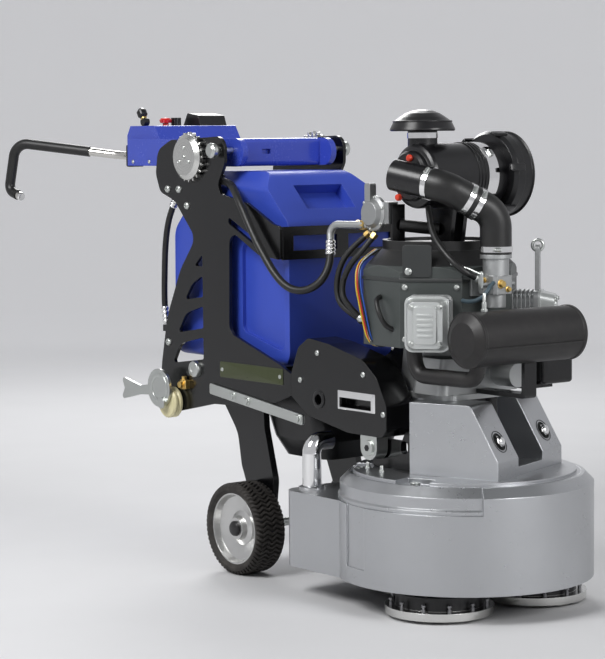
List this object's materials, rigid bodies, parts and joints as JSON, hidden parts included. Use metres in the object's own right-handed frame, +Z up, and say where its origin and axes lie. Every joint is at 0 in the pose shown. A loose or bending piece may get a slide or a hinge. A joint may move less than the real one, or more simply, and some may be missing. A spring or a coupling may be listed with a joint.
{
  "type": "walk-behind floor grinder",
  "caption": "Walk-behind gas-engined planetary floor grinder: round cast head with geared discs, hinged to a wheeled chassis with water tank and tilting handle.",
  "frame": {"origin": "on the floor, under the middle of the overall box", "axes": "+X forward to the grinding head, +Y to the machine's left, +Z up"},
  "size_m": [2.0567, 0.6866, 1.2924],
  "materials": {
    "cast_silver": "cast and painted silver, satin",
    "gear_steel": "machined, oiled",
    "disc_steel": "turned rims, worn",
    "chrome": "polished",
    "black_frame": "black powder coat, semi-gloss",
    "plain_steel": "zinc plated",
    "blue_plastic": "rotomoulded, soft sheen",
    "blue_paint": "gloss paint",
    "engine_grey": "dark grey engine paint",
    "bare_aluminium": "die cast",
    "cover_grey": "light grey paint",
    "exhaust": "heat-browned black",
    "black_plastic": "moulded black",
    "hose_rubber": "black rubber",
    "tyre": "turf tread",
    "rim": "cast, satin",
    "stop_red": "red button",
    "nylon": "cream nylon"
  },
  "bodies": {
    "head": {"shroud": "cast_silver", "ring_casting": "cast_silver", "engine_mount": "cast_silver", "dust_port": "chrome", "head_brackets": "black_frame", "gear_case": "gear_steel", "sun_gear": "gear_steel", "crankcase": "engine_grey", "blower_housing": "engine_grey", "cylinders": "bare_aluminium", "valve_covers": "cover_grey", "exhaust_pipe": "exhaust", "muffler": "exhaust", "carburettor": "bare_aluminium", "air_cleaner_body": "black_plastic", "air_cleaner_cover": "black_plastic", "rain_cap": "black_plastic", "intake_hose": "hose_rubber", "clamps": "chrome", "engine_brackets": "black_frame", "regulator": "bare_aluminium", "fuel_hoses": "hose_rubber"},
    "carrier": {"carrier": "gear_steel"},
    "disc_one": {"disc_1": "disc_steel", "planet_gear_1": "gear_steel"},
    "disc_two": {"disc_2": "disc_steel", "planet_gear_2": "gear_steel"},
    "disc_three": {"disc_3": "disc_steel", "planet_gear_3": "gear_steel"},
    "chassis": {"side_plate_right": "black_frame", "side_plate_left": "black_frame", "cross_members": "black_frame", "tank": "blue_plastic", "tank_band": "black_frame", "hinge_covers": "black_frame", "hinge_clevises": "plain_steel", "hinge_pins": "plain_steel", "wheel_legs": "black_frame", "axle": "plain_steel", "belly_pan": "black_plastic", "link_bars": "plain_steel", "gas_hose": "hose_rubber", "drop_hose": "hose_rubber"},
    "pedal": {"foot_pedal": "plain_steel"},
    "roller_pair": {"rollers": "nylon"},
    "wheel_right": {"tyre_right": "tyre", "rim_right": "rim"},
    "wheel_left": {"tyre_left": "tyre", "rim_left": "rim"},
    "handle": {"yoke": "blue_paint", "console": "blue_paint", "handlebars": "plain_steel", "grips": "hose_rubber", "index_discs": "plain_steel", "display": "black_plastic"},
    "throttle": {"throttle_lever": "black_plastic"},
    "stop": {"estop_button": "stop_red"},
    "speed": {"speed_knob": "black_plastic"},
    "lock_right": {"lock_knob_right": "plain_steel"},
    "lock_left": {"lock_knob_left": "plain_steel"}
  },
  "joints": [
    {"name": "head_float", "type": "hinge", "parent": "head", "child": "chassis", "pos_m": [0.56148, 0, 0.404], "axis": [0, 1, 0], "range_deg": [-3, 3], "deforming": ["gas_hose"]},
    {"name": "handle_tilt", "type": "hinge", "parent": "chassis", "child": "handle", "pos_m": [-0.20152, 0, 1.148], "axis": [0, -1, 0], "range_deg": [0, 30]},
    {"name": "carrier_spin", "type": "hinge", "parent": "head", "child": "carrier", "pos_m": [0.69548, 0, 0.145], "axis": [0, 0, 1], "continuous": true},
    {"name": "disc_one_spin", "type": "hinge", "parent": "carrier", "child": "disc_one", "pos_m": [0.77804, -0.15995, 0.1], "axis": [0, 0, 1], "continuous": true},
    {"name": "disc_two_spin", "type": "hinge", "parent": "carrier", "child": "disc_two", "pos_m": [0.79272, 0.15147, 0.1], "axis": [0, 0, 1], "continuous": true},
    {"name": "disc_three_spin", "type": "hinge", "parent": "carrier", "child": "disc_three", "pos_m": [0.51568, 0.00848, 0.1], "axis": [0, 0, 1], "continuous": true},
    {"name": "wheel_right_spin", "type": "hinge", "parent": "chassis", "child": "wheel_right", "pos_m": [0.03048, -0.2145, 0.127], "axis": [0, 1, 0], "continuous": true},
    {"name": "lock_right_pull", "type": "slide", "parent": "chassis", "child": "lock_right", "axis": [0, -1, 0], "range_m": [0, 0.02]},
    {"name": "wheel_left_spin", "type": "hinge", "parent": "chassis", "child": "wheel_left", "pos_m": [0.03048, 0.2145, 0.127], "axis": [0, 1, 0], "continuous": true},
    {"name": "lock_left_pull", "type": "slide", "parent": "chassis", "child": "lock_left", "axis": [0, 1, 0], "range_m": [0, 0.02]},
    {"name": "pedal_press", "type": "hinge", "parent": "chassis", "child": "pedal", "pos_m": [-0.29652, -0.24, 0.448], "axis": [0, -1, 0], "range_deg": [0, 22]},
    {"name": "rollers_spin", "type": "hinge", "parent": "chassis", "child": "roller_pair", "pos_m": [-0.29652, 0, 0.448], "axis": [0, 1, 0], "continuous": true},
    {"name": "throttle_swing", "type": "hinge", "parent": "handle", "child": "throttle", "pos_m": [-0.59952, -0.104, 1.2503], "axis": [0, 1, 0], "range_deg": [0, 55]},
    {"name": "stop_press", "type": "slide", "parent": "handle", "child": "stop", "axis": [0, 0, -1], "range_m": [0, 0.005], "stiffness_N_per_m": 1000, "springref_m": -0.002},
    {"name": "speed_turn", "type": "hinge", "parent": "handle", "child": "speed", "pos_m": [-0.59952, 0.008, 1.25], "axis": [0, 0, 1], "range_deg": [-135, 135]}
  ],
  "couplings": [
    {"joint": "disc_one_spin", "follows": "carrier_spin", "ratio": 2},
    {"joint": "disc_two_spin", "follows": "carrier_spin", "ratio": 2},
    {"joint": "disc_three_spin", "follows": "carrier_spin", "ratio": 2}
  ]
}
